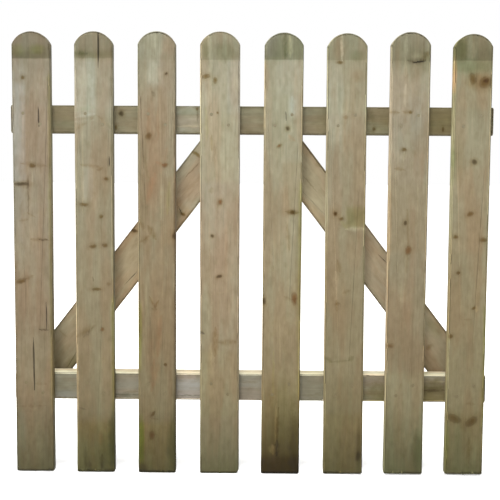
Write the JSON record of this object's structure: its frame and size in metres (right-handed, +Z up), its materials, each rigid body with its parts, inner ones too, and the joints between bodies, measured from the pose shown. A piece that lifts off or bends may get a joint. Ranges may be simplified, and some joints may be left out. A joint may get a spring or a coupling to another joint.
{
  "type": "garden gate",
  "caption": "Low round-top picket garden gate leaf: upright pales nailed to two horizontal rails, with a pair of diagonal braces on the back.",
  "frame": {"origin": "centre of the gate's outline at the level of the lowest pale's foot", "axes": "+X along the gate to the right as seen from the front, -Y out of the front (the pales' side), +Z up"},
  "size_m": [0.914, 0.0786, 0.8415],
  "materials": {
    "pale_wood": "pressure-treated softwood, weathered, faint green tint, matt",
    "rail_wood": "pressure-treated softwood, weathered, matt",
    "brace_wood": "pressure-treated softwood, weathered, matt",
    "nail_steel": "galvanised, dull"
  },
  "bodies": {
    "root": {"pale_1": "pale_wood", "pale_2": "pale_wood", "pale_3": "pale_wood", "pale_4": "pale_wood", "pale_5": "pale_wood", "pale_6": "pale_wood", "pale_7": "pale_wood", "pale_8": "pale_wood", "rail_top": "rail_wood", "rail_bottom": "rail_wood", "brace_left": "brace_wood", "brace_right": "brace_wood", "nail_pale_1_top_outer": "nail_steel", "nail_pale_1_top_inner": "nail_steel", "nail_pale_2_top_outer": "nail_steel", "nail_pale_2_top_inner": "nail_steel", "nail_pale_3_top_outer": "nail_steel", "nail_pale_3_top_inner": "nail_steel", "nail_pale_4_top_outer": "nail_steel", "nail_pale_4_top_inner": "nail_steel", "nail_pale_5_top_outer": "nail_steel", "nail_pale_5_top_inner": "nail_steel", "nail_pale_6_top_outer": "nail_steel", "nail_pale_6_top_inner": "nail_steel", "nail_pale_7_top_outer": "nail_steel", "nail_pale_7_top_inner": "nail_steel", "nail_pale_8_top_outer": "nail_steel", "nail_pale_8_top_inner": "nail_steel", "nail_pale_1_bottom_outer": "nail_steel", "nail_pale_1_bottom_inner": "nail_steel", "nail_pale_2_bottom_outer": "nail_steel", "nail_pale_2_bottom_inner": "nail_steel", "nail_pale_3_bottom_outer": "nail_steel", "nail_pale_3_bottom_inner": "nail_steel", "nail_pale_4_bottom_outer": "nail_steel", "nail_pale_4_bottom_inner": "nail_steel", "nail_pale_5_bottom_outer": "nail_steel", "nail_pale_5_bottom_inner": "nail_steel", "nail_pale_6_bottom_outer": "nail_steel", "nail_pale_6_bottom_inner": "nail_steel", "nail_pale_7_bottom_outer": "nail_steel", "nail_pale_7_bottom_inner": "nail_steel", "nail_pale_8_bottom_outer": "nail_steel", "nail_pale_8_bottom_inner": "nail_steel", "nail_brace_left_top_1": "nail_steel", "nail_brace_left_top_2": "nail_steel", "nail_brace_right_top_1": "nail_steel", "nail_brace_right_top_2": "nail_steel", "nail_brace_left_bottom_1": "nail_steel", "nail_brace_left_bottom_2": "nail_steel", "nail_brace_right_bottom_1": "nail_steel", "nail_brace_right_bottom_2": "nail_steel"}
  },
  "joints": []
}
